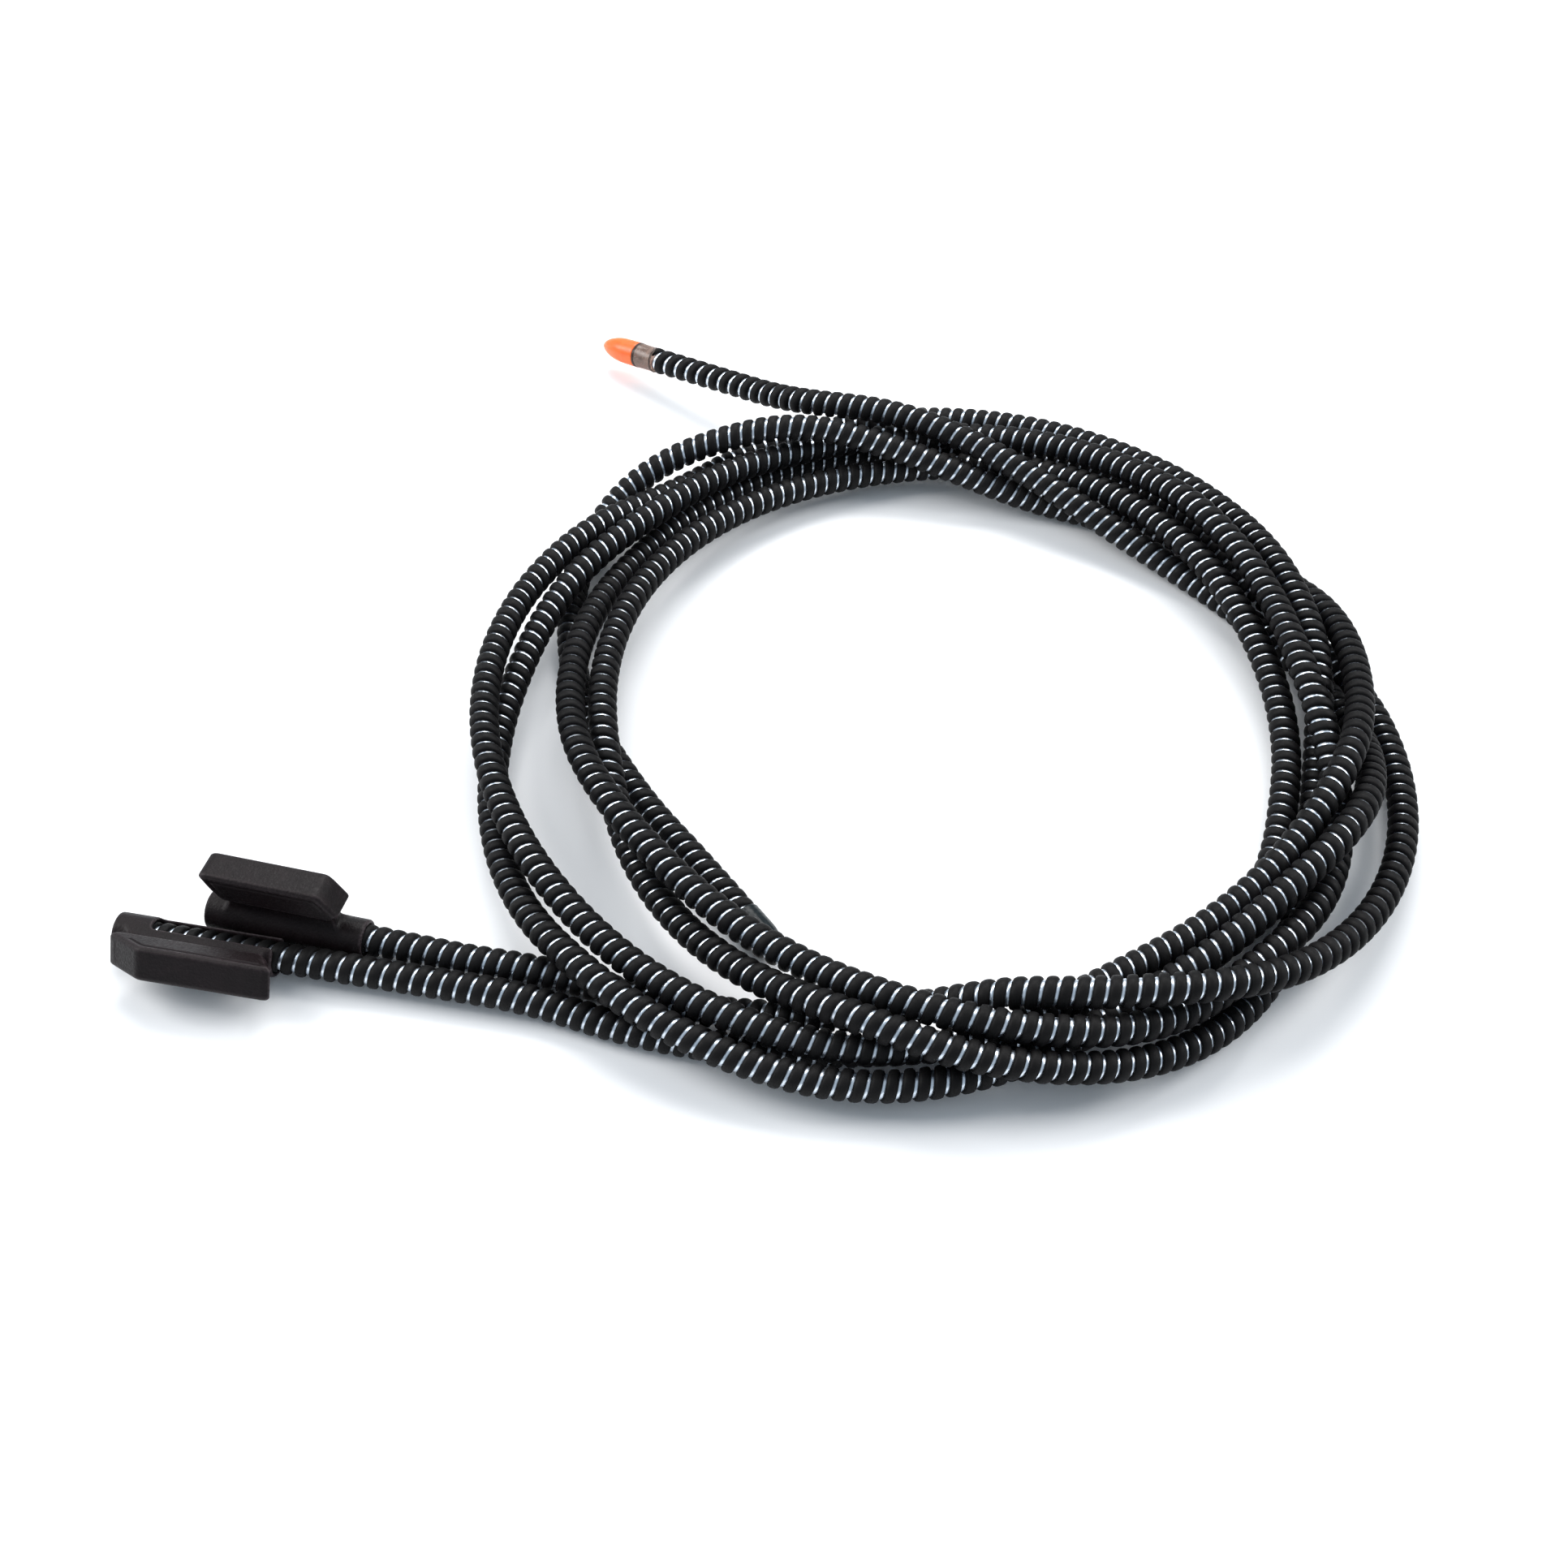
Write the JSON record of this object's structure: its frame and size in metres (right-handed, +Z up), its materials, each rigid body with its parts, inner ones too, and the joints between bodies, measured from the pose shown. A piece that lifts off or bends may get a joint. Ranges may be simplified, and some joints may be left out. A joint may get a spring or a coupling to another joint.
{
  "type": "drain auger",
  "caption": "Hand drain auger: flexible ridged cables laid up in one coil, each with a moulded turning handle at one end and a rounded lead tip at the other.",
  "frame": {"origin": "bottom centre of the whole object's bounding box, on the floor it rests on", "axes": "+Z up; the handles lie towards -X and -Y; the orange tip lies towards +Y"},
  "size_m": [0.4194, 0.3623, 0.0335],
  "materials": {
    "bright_core": "bright drawn wire",
    "black_winding": "satin black ridges",
    "ferrule_black": "satin black",
    "handle_plastic": "fine moulded texture, near black with a brown cast",
    "crimp_metal": "plain crimp",
    "black_tip_gloss": "glossy black",
    "smoky_sleeve": "clear, smoky",
    "orange_tip": "glossy, slightly translucent"
  },
  "bodies": {
    "coil": {"coil_core_black_tip": "bright_core", "coil_jacket_black_tip": "black_winding", "coil_core_orange_tip": "bright_core", "coil_jacket_orange_tip": "black_winding"},
    "front_tail": {"front_tail_core": "bright_core", "front_tail_jacket": "black_winding", "front_tail_ferrule": "ferrule_black"},
    "front_handle": {"front_handle": "handle_plastic"},
    "rear_tail": {"rear_tail_core": "bright_core", "rear_tail_jacket": "black_winding", "rear_tail_ferrule": "ferrule_black"},
    "rear_handle": {"rear_handle": "handle_plastic"},
    "black_end": {"black_end_core": "bright_core", "black_end_jacket": "black_winding", "black_end_crimp": "crimp_metal", "black_tip": "black_tip_gloss"},
    "orange_end": {"orange_end_core": "bright_core", "orange_end_jacket": "black_winding", "orange_end_crimp": "crimp_metal", "orange_end_sleeve": "smoky_sleeve", "orange_tip": "orange_tip"}
  },
  "joints": [
    {"name": "front_tail_bend", "type": "hinge", "parent": "coil", "child": "front_tail", "pos_m": [-0.10064, -0.13795, 0.00638], "axis": [0, 0, 1], "range_deg": [0, 25]},
    {"name": "rear_tail_bend", "type": "hinge", "parent": "coil", "child": "rear_tail", "pos_m": [-0.10064, -0.12735, 0.00638], "axis": [0, 0, 1], "range_deg": [-25, 0]},
    {"name": "front_handle_turn", "type": "hinge", "parent": "front_tail", "child": "front_handle", "pos_m": [-0.10064, -0.13795, 0.00638], "axis": [-0.9816, 0.1908, 0], "range_deg": [-30, 48]},
    {"name": "rear_handle_turn", "type": "hinge", "parent": "rear_tail", "child": "rear_handle", "pos_m": [-0.10064, -0.12735, 0.00638], "axis": [-0.972, 0.2351, 0], "range_deg": [-2, 74]},
    {"name": "black_end_bend", "type": "hinge", "parent": "coil", "child": "black_end", "pos_m": [-0.02862, -0.08595, 0.00498], "axis": [0, 0, 1], "range_deg": [0, 25]},
    {"name": "orange_end_bend", "type": "hinge", "parent": "coil", "child": "orange_end", "pos_m": [-0.00864, 0.13525, 0.01888], "axis": [0, 0, 1], "range_deg": [-20, 20]}
  ]
}
